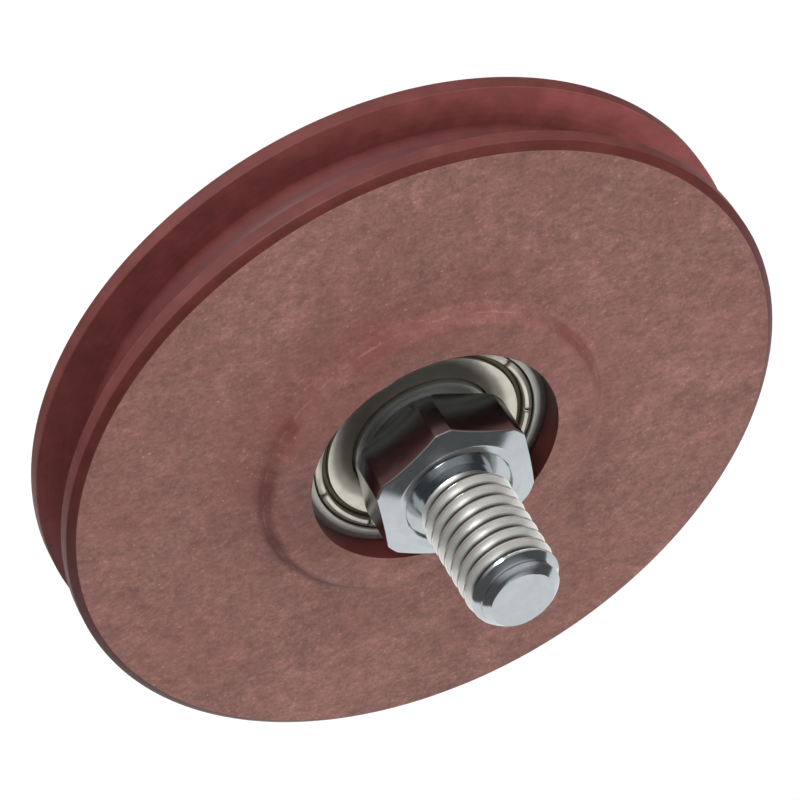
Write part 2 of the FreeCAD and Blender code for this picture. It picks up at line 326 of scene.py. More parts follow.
def zinc_plate(name, chosen, brightness, gloss, drawn=False):
    """Zinc plate over steel: uneven gloss, with fine lines round the axis or, on a drawn bar, along it."""
    material, tree, shader = new_material(name, {"Metallic": 1.0})
    spot = place_on_piece(tree)
    clouds = add_node(tree, "ShaderNodeTexNoise",
                      {"Vector": spot, "Scale": across(1.6), "Detail": 5.0, "Roughness": 0.65})
    dark, light = [picked(chosen, share * brightness) for share in (0.93, 1.07)]
    colour = add_node(tree, "ShaderNodeValToRGB", {"Fac": clouds}, stops=[(0.3, dark), (0.7, light)])
    rough = add_node(tree, "ShaderNodeMapRange", {"Value": clouds, "To Min": gloss[0], "To Max": gloss[1]})
    if drawn:
        along = add_node(tree, "ShaderNodeMapping", {"Vector": spot, "Scale": (1.0, 0.06, 1.0)})
        lines = add_node(tree, "ShaderNodeTexNoise", {"Vector": along, "Scale": across(0.2), "Detail": 3.0})
    else:
        lines = turning_lines(tree, spot, 0.12)
    normal = relief(tree, [(clouds, 0.01, 0.3), (lines, 0.004, 0.4)])
    link_shader(tree, shader, {"Base Color": colour, "Roughness": rough, "Normal": normal})
    return material, tree, shader, colour, rough


def bright_zinc_plate():
    """Free-cutting steel, turned and bright zinc plated: cool grey with a blue cast."""
    return zinc_plate("bright_zinc_plate", "zinc", 1.0, (0.08, 0.22))[0]


def zinc_plated_bar():
    """Faces of the drawn hexagon bar under the plate: a darker copy of the plate, painted shade for the dark
    reflection of the wheel's face, with streaks along the bar.
    """
    return zinc_plate("zinc_plated_bar", "zinc", 0.85, (0.1, 0.26), drawn=True)[0]


def rolled_zinc_thread():
    """Rolled thread under the plate: pale satin flanks, shiny crests and roots painted dark as shade."""
    material, tree, shader, colour, rough = zinc_plate("rolled_zinc_thread", "thread", 1.0, (0.36, 0.48))
    shader.inputs["Metallic"].default_value = 0.8
    radius, _ = radius_and_depth(tree, place_on_piece(tree))
    # Painted shade: the roots darkened nearly to black
    root = add_node(tree, "ShaderNodeMapRange",
                    {"Value": radius, "From Min": 3.5 * MM, "From Max": 3.28 * MM, "To Max": 0.95})
    crest = add_node(tree, "ShaderNodeMapRange",
                     {"Value": radius, "From Min": 3.84 * MM, "From Max": 3.92 * MM,
                      "To Min": 1.0, "To Max": 0.3})
    link_shader(tree, shader, {"Base Color": coated(tree, colour, [(root, "#181917")]),
                               "Roughness": product(tree, rough, crest)})
    return material


def ground_bearing_steel():
    """Through-hardened bearing steel, ground: neutral grey and finely lined, with painted shade making it
    dark inside, between the rings.
    """
    material, tree, shader = new_material("ground_bearing_steel", {"Metallic": 0.85, "Roughness": 0.5})
    spot = place_on_piece(tree)
    radius, depth = radius_and_depth(tree, spot)
    lines = turning_lines(tree, spot, 0.1)
    ground = add_node(tree, "ShaderNodeValToRGB", {"Fac": lines},
                      stops=[(0.3, srgb("#B2B2AC")), (0.7, srgb("#D6D5CE"))])
    from_middle = add_node(tree, "ShaderNodeMath", {0: depth}, operation="ABSOLUTE")
    inside = add_node(tree, "ShaderNodeMapRange",
                      {"Value": from_middle, "From Min": (BEARING_HALF - 0.1) * MM,
                       "From Max": (BEARING_HALF - 0.3) * MM, "To Max": 0.85})
    # Painted shade: near black inside the bearing, between the rings
    painted_shade_inside = product(tree, inside, band(tree, radius, 6.2 * MM, 10.1 * MM, 0.1 * MM))
    link_shader(tree, shader, {"Base Color": coated(tree, ground, [(painted_shade_inside, "#1E1D18")]),
                               "Normal": relief(tree, [(lines, 0.004, 0.5)])})
    return material


def pressed_sheet_steel():
    """Thin cold-rolled sheet, pressed: bright and slightly cream, with painted shade darkening its channel.
    """
    material, tree, shader = new_material("pressed_sheet_steel", {"Metallic": 1.0, "Roughness": 0.4})
    spot = place_on_piece(tree)
    radius, _ = radius_and_depth(tree, spot)
    clouds = add_node(tree, "ShaderNodeTexNoise", {"Vector": spot, "Scale": across(1.5), "Detail": 3.0})
    sheet = add_node(tree, "ShaderNodeValToRGB", {"Fac": clouds},
                     stops=[(0.3, picked("shield", 0.88)), (0.7, picked("shield", 1.08))])
    place = add_node(tree, "ShaderNodeMapRange",
                     {"Value": radius, "From Min": 7.6 * MM, "From Max": 9.2 * MM})
    # Painted shade: a dark ring in the pressed channel
    channel = add_node(tree, "ShaderNodeValToRGB", {"Fac": place},
                       stops=[(0.45, BLACK), (0.56, WHITE), (0.75, WHITE), (0.82, BLACK)])
    link_shader(tree, shader, {"Base Color": coated(tree, sheet, [(channel, "#4F4C3A")]),
                               "Normal": relief(tree, [(clouds, 0.01, 0.3)])})
    return material


def lapped_ball_steel():
    """Lapped chrome steel balls: mirror bright under a film of grease."""
    material, tree, shader = new_material("lapped_ball_steel", {"Metallic": 1.0, "Roughness": 0.08})
    film = add_node(tree, "ShaderNodeTexNoise", {"Vector": place_on_piece(tree), "Scale": across(1.0)})
    colour = add_node(tree, "ShaderNodeValToRGB", {"Fac": film},
                      stops=[(0.3, srgb("#A9ABAD")), (0.7, srgb("#C9CBCD"))])
    link_shader(tree, shader, {"Base Color": colour})
    return material


def phosphated_spring_steel():
    """Spring steel, phosphated and oiled: dark grey with a dull sheen."""
    material, tree, shader = new_material("phosphated_spring_steel", {"Metallic": 0.6, "Roughness": 0.48})
    film = add_node(tree, "ShaderNodeTexNoise",
                    {"Vector": place_on_piece(tree), "Scale": across(0.8), "Detail": 4.0})
    colour = add_node(tree, "ShaderNodeValToRGB", {"Fac": film},
                      stops=[(0.3, srgb("#2A2A2D")), (0.7, srgb("#3E3E42"))])
    link_shader(tree, shader, {"Base Color": colour, "Normal": relief(tree, [(film, 0.01, 0.4)])})
    return material


def studio_paper(settings):
    """White background paper: white to the camera and in mirrors, and it keeps the soft shadow."""
    material, tree, shader = new_material("studio_paper", {"Roughness": 0.9, "Specular IOR Level": 0.0})
    shader.inputs["Base Color"].default_value = list(settings.floor_colour) + [1.0]
    shader.inputs["Emission Color"].default_value = WHITE
    rays = add_node(tree, "ShaderNodeLightPath").node.outputs
    seen = rays["Is Camera Ray"]
    for name in ("Is Glossy Ray", "Is Transmission Ray"):
        seen = add_node(tree, "ShaderNodeMath", {0: seen, 1: rays[name]}, operation="MAXIMUM")
    link_shader(tree, shader, {"Emission Strength": product(tree, seen, settings.floor_lift)})
    return material


# Mesh building

def profile_run(bm, points, closed):
    """Wire through (radius, y) points in millimetres, in the plane that it is spun from."""
    corners = [bm.verts.new((radius * MM, y * MM, 0)) for radius, y in points]
    edges = [bm.edges.new(pair) for pair in zip(corners, corners[1:])]
    if closed:
        edges.append(bm.edges.new((corners[-1], corners[0])))
    return corners + edges


def arc_points(centre, radius, start, end, count):
    """(radius, y) points along an arc, angles in degrees from the outward direction towards +Y."""
    points = []
    for index in range(count + 1):
        angle = math.radians(start + (end - start) * index / count)
        points.append((centre[0] + radius * math.cos(angle), centre[1] + radius * math.sin(angle)))
    return points


def spun(points, steps, closed=True):
    """Bmesh of a profile spun once round the axis, with its poles and seam closed."""
    bm = bmesh.new()
    wire = profile_run(bm, points, closed)
    bmesh.ops.spin(bm, geom=wire, cent=CENTRE, axis=AXIS, dvec=(0, 0, 0), angle=FULL_TURN,
                   steps=steps, use_merge=True, use_duplicate=False)
    bmesh.ops.remove_doubles(bm, verts=bm.verts, dist=WELD)
    return bm


def radius_of(point):
    """Distance from the axis, in millimetres."""
    return math.hypot(point.x, point.z) / MM


def move_corner(corner, share):
    """Moves a corner to a share of its distance from the axis."""
    corner.co.x *= share
    corner.co.z *= share


def round_edges(bm, edges, width, segments=2):
    """Bevels edges by a width in millimetres."""
    bmesh.ops.bevel(bm, geom=edges, offset=width * MM, offset_type="OFFSET", segments=segments,
                    profile=0.5, affect="EDGES", material=-1, clamp_overlap=True)


def both_sides(radius, y):
    """The same ring in front and behind."""
    return [(radius, -y), (radius, y)]


def round_rings(bm, places, width, segments=2):
    """Bevels the ring edges at (radius, y) places by a width in millimetres."""
    found = []
    for edge in bm.edges:
        ends = [(radius_of(corner.co), corner.co.y / MM) for corner in edge.verts]
        for radius, y in places:
            if all(abs(end[0] - radius) < SAME_PLACE and abs(end[1] - y) < SAME_PLACE for end in ends):
                found.append(edge)
                break
    if not found:
        raise RuntimeError(f"no ring edges at {places}")
    round_edges(bm, found, width, segments)


def finish_piece(name, bm, body, materials, replaced, choose=None, sharp_degrees=35.0):
    """Turns a bmesh into a piece that rides on a body and stands for CAD nodes."""
    bmesh.ops.recalc_face_normals(bm, faces=bm.faces)
    if choose is not None:
        for face in bm.faces:
            face.material_index = choose(face)
    mesh = bpy.data.meshes.new(name)
    bm.to_mesh(mesh)
    bm.free()
    for material in materials:
        mesh.materials.append(material)
    mesh.shade_smooth()
    mesh.set_sharp_from_angle(angle=math.radians(sharp_degrees))
    piece = bpy.data.objects.new(name, mesh)
    bpy.context.scene.collection.objects.link(piece)
    even = piece.modifiers.new("face_weighted_normals", "WEIGHTED_NORMAL")
    even.keep_sharp = True
    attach(piece, body)
    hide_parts(*replaced)
    return piece


def paint_node(name, material):
    """Gives a CAD node its material and leaves its shape alone."""
    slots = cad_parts[name].data.materials
    slots.clear()
    slots.append(material)


def shared(maker):
    """Material of a maker function, made once."""
    found = bpy.data.materials.get(maker.__name__)
    return found if found is not None else maker()


# Settings

def length(name, description, usual, low, high):
    """Property for a length, given in millimetres and kept in metres."""
    return FloatProperty(name=name, description=description, default=usual * MM, min=low * MM, max=high * MM,
                         subtype="DISTANCE", precision=5)


def colour(name, description, code):
    """Property for a colour, given as an sRGB hex code."""
    return FloatVectorProperty(name=name, description=description, subtype="COLOR", default=srgb(code)[:3],
                               min=0.0, max=1.0)


def millimetres(settings):
    """The lengths of a group of settings, in millimetres."""
    return types.SimpleNamespace(**{name: getattr(settings, name) / MM for name in settings.__annotations__})


class RopePulleyWheel(bpy.types.PropertyGroup):
    width: length("Width", "Width of the wheel over its two faces", 9.0, 6.0, 12.0)
    groove_mouth: length("Groove mouth", "Width of the rope groove at the rim", 5.5, 3.0, 7.0)
    groove_wall: length("Groove wall", "Depth of the groove's straight walls", 3.9, 2.0, 5.0)
    groove_draft: length("Groove draft", "How far each wall leans in over its depth", 0.15, 0.0, 0.5)
    groove_round: length("Groove round", "Radius of the groove's bottom", 3.2, 2.7, 6.0)
    boss_radius: length("Boss radius", "Radius of the raised boss", 14.5, 12.0, 20.0)
    lip_radius: length("Front lip", "Radius of the lip in front of the bearing", 10.8, 10.0, 11.0)
    shoulder_radius: length("Shoulder", "Radius of the shoulder behind the bearing", 10.0, 9.0, 10.8)


class RopePulleyBearing(bpy.types.PropertyGroup):
    ball: length("Ball", "Diameter of the balls", 3.969, 3.0, 5.0)
    inner_land: length("Inner land", "Radius of the inner ring's shoulder", 6.05, 5.0, 7.0)
    outer_land: length("Outer land", "Radius of the outer ring's shoulder", 8.9, 8.0, 9.5)
    seat: length("Shield seat", "Radius of the seat that holds the shield", 9.7, 9.2, 10.2)


class RopePulleyAxle(bpy.types.PropertyGroup):
    stud: length("Stud", "Radius over the thread's crests", 3.95, 3.0, 5.0)
    pitch: length("Pitch", "Pitch of the thread", 1.25, 0.8, 1.75)
    flats: length("Across flats", "Spanner size of the hexagon", 13.0, 10.0, 17.0)


class RopePulleyColours(bpy.types.PropertyGroup):
    moulded: colour("Moulded face", "Colour of the wheel's moulded skin", "#845E57")
    cut: colour("Cut surfaces", "Colour of the chamfers and the bore", "#512523")
    # Painted light: the groove and rim colours are paler copies of the cut colour
    groove: colour("Groove", "Colour of the groove's walls and bottom", "#864B49")
    rim: colour("Rim", "Colour of the rubbed lands beside the groove", "#613432")
    zinc: colour("Zinc plate", "Colour of the bright plate on the axle", "#B5BBBF")
    thread: colour("Thread", "Colour of the plated thread", "#E4E4E0")
    shield: colour("Shield", "Colour of the shield's sheet", "#E0DCCE")


class RopePulleyStage(bpy.types.PropertyGroup):
    floor_colour: FloatVectorProperty(name="Floor colour", description="Colour of the background paper",
                                      subtype="COLOR", default=(0.45, 0.45, 0.45), min=0.0, max=1.0)
    floor_lift: FloatProperty(name="Floor lift", description="How much whiter the paper looks to the camera",
                              subtype="FACTOR", default=0.45, min=0.0, max=1.0)
    floor_drop: length("Floor drop", "Distance from the wheel's rim down to the paper", 90.0, 0.0, 1000.0)
    floor_radius: length("Floor radius", "Radius of the round sheet of paper", 300.0, 200.0, 3000.0)
    floor_shift: length("Floor shift", "How far the paper lies off to the wheel's right", 150.0, 0.0, 500.0)
    key_power: FloatProperty(name="Key light", description="Power of the large soft light", subtype="POWER",
                             default=3.4, min=0.0, max=50.0)
    front_power: FloatProperty(name="Front light", description="Power of the light before the wheel's face",
                               subtype="POWER", default=4.6, min=0.0, max=50.0)
    back_power: FloatProperty(name="Back light", description="Power of the light behind the wheel",
                              subtype="POWER", default=2.6, min=0.0, max=50.0)
    ceiling_light: FloatProperty(name="Ceiling", description="Level of the room's light from above",
                                 subtype="FACTOR", default=0.7, min=0.0, max=2.0)
    horizon_light: FloatProperty(name="Horizon", description="Level of the room's light from the sides",
                                 subtype="FACTOR", default=0.12, min=0.0, max=2.0)


# Operators

class ROPEPULLEY_OT_stage(bpy.types.Operator):
    """Makes the floor, the lights, the world and the camera"""
    bl_idname = "rope_pulley.stage"
    bl_label = "Stage"

    def execute(self, context):
        settings = context.scene.rope_pulley_stage
        bm = bmesh.new()
        bmesh.ops.create_circle(bm, cap_ends=True, radius=settings.floor_radius, segments=96)
        bmesh.ops.translate(bm, verts=bm.verts,
                            vec=(settings.floor_shift, 0, -RIM_RADIUS * MM - settings.floor_drop))
        mesh = bpy.data.meshes.new("floor")
        bm.to_mesh(mesh)
        bm.free()
        mesh.materials.append(studio_paper(settings))
        floor = bpy.data.objects.new("floor", mesh)
        context.scene.collection.objects.link(floor)
        self.light_room(context, settings)
        self.area_light(*KEY_LIGHT, settings.key_power)
        self.area_light(*FRONT_LIGHT, settings.front_power)
        self.area_light(*BACK_LIGHT, settings.back_power)
        self.place_camera(context)
        context.scene.view_settings.view_transform = "Standard"
        return {"FINISHED"}

    def light_room(self, context, settings):
        """Bright above, dark towards the horizon, white to the camera."""
        world = bpy.data.worlds.new("studio_room")
        world.use_nodes = True
        context.scene.world = world
        tree = world.node_tree
        sky = tree.nodes["Background"]
        direction = add_node(tree, "ShaderNodeTexCoord", output="Generated")
        height = add_node(tree, "ShaderNodeSeparateXYZ", {"Vector": direction}, output="Z")
        level = add_node(tree, "ShaderNodeMapRange",
                         {"Value": height, "From Min": 0.25, "From Max": 0.8,
                          "To Min": settings.horizon_light, "To Max": settings.ceiling_light})
        rays = add_node(tree, "ShaderNodeLightPath").node.outputs
        seen = add_node(tree, "ShaderNodeMath", {0: rays["Is Camera Ray"], 1: rays["Is Transmission Ray"]},
                        operation="MAXIMUM")
        strength = add_node(tree, "ShaderNodeMix", {0: seen, 2: level, 3: 1.0}, data_type="FLOAT")
        sky.inputs["Color"].default_value = WHITE
        link_shader(tree, sky, {"Strength": strength})

    def area_light(self, name, place, size, mirrored, power):
        """Square lamp, aimed at the middle of the wheel."""
        data = bpy.data.lights.new(name, "AREA")
        data.shape = "SQUARE"
        data.size = size
        data.energy = power
        light = bpy.data.objects.new(name, data)
        light.location = place
        light.rotation_euler = (CENTRE - Vector(place)).to_track_quat("-Z", "Y").to_euler()
        light.visible_glossy = mirrored
        bpy.context.scene.collection.objects.link(light)

    def place_camera(self, context):
        """Camera that sees the part as the photograph shows it."""
        data = bpy.data.cameras.new("camera")
        data.lens = CAMERA_LENS
        data.sensor_width = CAMERA_FILM
        data.clip_start = 0.01
        camera = bpy.data.objects.new("camera", data)
        turn = Matrix((CAMERA_RIGHT, CAMERA_UP, CAMERA_BACK)).transposed().to_4x4()
        camera.matrix_world = Matrix.Translation(CAMERA_PLACE) @ turn
        context.scene.collection.objects.link(camera)
        context.scene.camera = camera


class ROPEPULLEY_OT_wheel(bpy.types.Operator):
    """Makes the moulded wheel with its groove, bosses and bore"""
    bl_idname = "rope_pulley.wheel"
    bl_label = "Wheel"

    def execute(self, context):
        size = millimetres(context.scene.rope_pulley_wheel)
        half = size.width / 2
        mouth = size.groove_mouth / 2
        floor_half = mouth - size.groove_draft
        wall_end = RIM_RADIUS - size.groove_wall
        round_centre = wall_end + math.sqrt(size.groove_round ** 2 - floor_half ** 2)
        spread = math.degrees(math.asin(floor_half / size.groove_round))
        bottom = arc_points((round_centre, 0), size.groove_round, 180 + spread, 180 - spread, count=14)
        chamfer_width, chamfer_depth = 0.5, 0.65
        slope_in, slope_out = 0.3, 0.7
        boss_top = size.boss_radius - slope_in
        boss_foot = size.boss_radius + slope_out
        points = [
            (BORE_RADIUS, -BEARING_HALF),
            (size.lip_radius, -BEARING_HALF),
            (size.lip_radius, -BOSS_FACE),
            (boss_top, -BOSS_FACE),
            (boss_foot, -half),
            (RIM_RADIUS - chamfer_depth, -half),
            (RIM_RADIUS, chamfer_width - half),
            (RIM_RADIUS, -mouth),
            *bottom,
            (RIM_RADIUS, mouth),
            (RIM_RADIUS, half - chamfer_width),
            (RIM_RADIUS - chamfer_depth, half),
            (boss_foot, half),
            (boss_top, BOSS_FACE),
            (size.shoulder_radius, BOSS_FACE),
            (size.shoulder_radius, BEARING_HALF),
            (BORE_RADIUS, BEARING_HALF),
        ]
        bm = spun(points, steps=384)
        round_rings(bm, both_sides(boss_foot, half), width=0.4, segments=4)
        round_rings(bm, both_sides(boss_top, BOSS_FACE), width=0.3, segments=4)
        round_rings(bm, both_sides(RIM_RADIUS, mouth), width=0.1)
        round_rings(bm, both_sides(wall_end, floor_half), width=0.3, segments=3)
        round_rings(bm, both_sides(RIM_RADIUS, half - chamfer_width), width=0.1)
        round_rings(bm, both_sides(RIM_RADIUS - chamfer_depth, half), width=0.1)
        round_rings(bm, [(size.lip_radius, -BOSS_FACE), (size.shoulder_radius, BOSS_FACE)], width=0.12)
        skin_margin = 0.02
        mouth_round = 0.15

        def surface_of(face):
            """0 moulded skin, 1 cut chamfer or bore, 2 rim land, 3 groove."""
            middle = face.calc_center_median()
            radius = radius_of(middle)
            depth = abs(middle.y / MM)
            on_face = size.lip_radius + skin_margin < radius < RIM_RADIUS - chamfer_depth
            if depth > half - skin_margin and on_face:
                return 0
            if radius > RIM_RADIUS - skin_margin:
                return 2
            return 3 if depth < mouth + mouth_round and radius > boss_foot else 1

        makers = (moulded_phenolic, cut_phenolic, rim_phenolic, groove_phenolic)
        finish_piece("moulded_wheel", bm, "wheel", [shared(maker) for maker in makers],
                     ["pulley_wheel"], surface_of)
        return {"FINISHED"}


class ROPEPULLEY_OT_bearing(bpy.types.Operator):
    """Makes the two rings of the bearing and its shields, and paints the balls and the cage"""
    bl_idname = "rope_pulley.bearing"
    bl_label = "Bearing"

    def execute(self, context):
        size = millimetres(context.scene.rope_pulley_bearing)
        self.outer_ring(size)
        self.inner_ring(size)
        self.shield(size, "front_shield", -1)
        self.shield(size, "rear_shield", 1)
        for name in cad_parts:
            if name.startswith("ball_"):
                paint_node(name, shared(lapped_ball_steel))
            elif name.startswith("cage_"):
                paint_node(name, shared(pressed_sheet_steel))
        return {"FINISHED"}

    def raceway(self, size, side):
        """Arc of the raceway that stands on a land, from the front shoulder to the rear one."""
        radius = RACEWAY_SHARE * size.ball
        centre = BALL_CIRCLE + side * (size.ball / 2 + BALL_PLAY - radius)
        land = size.outer_land if side > 0 else size.inner_land
        middle = 0 if side > 0 else 180
        reach = math.degrees(math.acos(side * (land - centre) / radius))
        return arc_points((centre, 0), radius, middle + reach, middle - reach, count=12)

    def outer_ring(self, size):
        """Ring with the raceway inside it, a seat for each shield and sloped outer edges."""
        slope_width, slope_depth = 0.75, 0.35
        seat_depth = 1.0
        seat_floor = BEARING_HALF - seat_depth
        points = [
            (size.seat, -BEARING_HALF),
            (BORE_RADIUS - slope_width, -BEARING_HALF),
            (BORE_RADIUS, slope_depth - BEARING_HALF),
            (BORE_RADIUS, BEARING_HALF - slope_depth),
            (BORE_RADIUS - slope_width, BEARING_HALF),
            (size.seat, BEARING_HALF),
            (size.seat, seat_floor),
            (size.outer_land, seat_floor),
            *self.raceway(size, 1),
            (size.outer_land, -seat_floor),
            (size.seat, -seat_floor),
        ]
        bm = spun(points, steps=288)
        round_rings(bm, both_sides(size.seat, BEARING_HALF), width=0.12)
        round_rings(bm, both_sides(BORE_RADIUS - slope_width, BEARING_HALF), width=0.1)
        finish_piece("bearing_outer", bm, "wheel", [shared(ground_bearing_steel)],
                     ["bearing_outer_ring"])

    def inner_ring(self, size):
        """Ring with the raceway outside it and a chamfered hole."""
        chamfer = 0.3
        hole = extent("bearing_inner_ring", 0)[1] - size.inner_land + BEARING_HOLE
        points = [
            (hole + chamfer, -BEARING_HALF),
            (size.inner_land, -BEARING_HALF),
            *reversed(self.raceway(size, -1)),
            (size.inner_land, BEARING_HALF),
            (hole + chamfer, BEARING_HALF),
            (hole, BEARING_HALF - chamfer),
            (hole, chamfer - BEARING_HALF),
        ]
        bm = spun(points, steps=192)
        round_rings(bm, both_sides(size.inner_land, BEARING_HALF), width=0.12)
        finish_piece("bearing_inner", bm, "axle", [shared(ground_bearing_steel)],
                     ["bearing_inner_ring"])

    def shield(self, size, node, side):
        """Sheet with a channel and a crimped edge; its short slits are one spin step wide."""
        sheet = 0.25
        steps_between_slits = 26
        slit_count = 9
        first_slit = 1.9
        slit_depth = 0.6
        inner = size.inner_land + 0.2
        web = BEARING_HALF - 0.4 - sheet / 2
        channel = web - 0.25
        channel_start, channel_end = 8.4, 8.8
        crimp_start = 8.95
        crimp_end = size.seat - 0.05 - sheet / 2
        crimp_top = BEARING_HALF - 0.12 - sheet / 2
        shoulder = 0.1
        shoulder_y, foot_y = crimp_top - 0.06, crimp_top - 0.2
        points = [
            (inner, web),
            (channel_start - 0.15, web),
            (channel_start, channel),
            (channel_end, channel),
            (crimp_start, foot_y),
            (crimp_start + shoulder, shoulder_y),
            ((crimp_start + crimp_end) / 2, crimp_top),
            (crimp_end - shoulder, shoulder_y),
            (crimp_end, foot_y),
            (crimp_end, BEARING_HALF - 1.0),
        ]
        steps = slit_count * steps_between_slits
        step = 360 / steps
        bm = spun([(radius, side * y) for radius, y in points], steps, closed=False)
        slits = []
        for face in bm.faces:
            middle = face.calc_center_median()
            angle = math.degrees(math.atan2(middle.z, middle.x)) % 360
            in_slit = (angle % (360 / slit_count)) / step < 1
            near_front = abs(middle.y) / MM > BEARING_HALF - slit_depth
            if in_slit and near_front and radius_of(middle) > crimp_start - 0.05:
                slits.append(face)
        bmesh.ops.delete(bm, geom=slits, context="FACES")
        turn = Matrix.Rotation(math.radians(first_slit + step / 2), 3, "Y")
        bmesh.ops.rotate(bm, verts=bm.verts, cent=CENTRE, matrix=turn)
        bmesh.ops.recalc_face_normals(bm, faces=bm.faces)
        piece = finish_piece(node + "_sheet", bm, "wheel", [shared(pressed_sheet_steel)],
                             [node])
        wall = piece.modifiers.new("sheet_thickness", "SOLIDIFY")
        wall.thickness = sheet * MM
        wall.offset = 0.0
        wall.use_even_offset = True


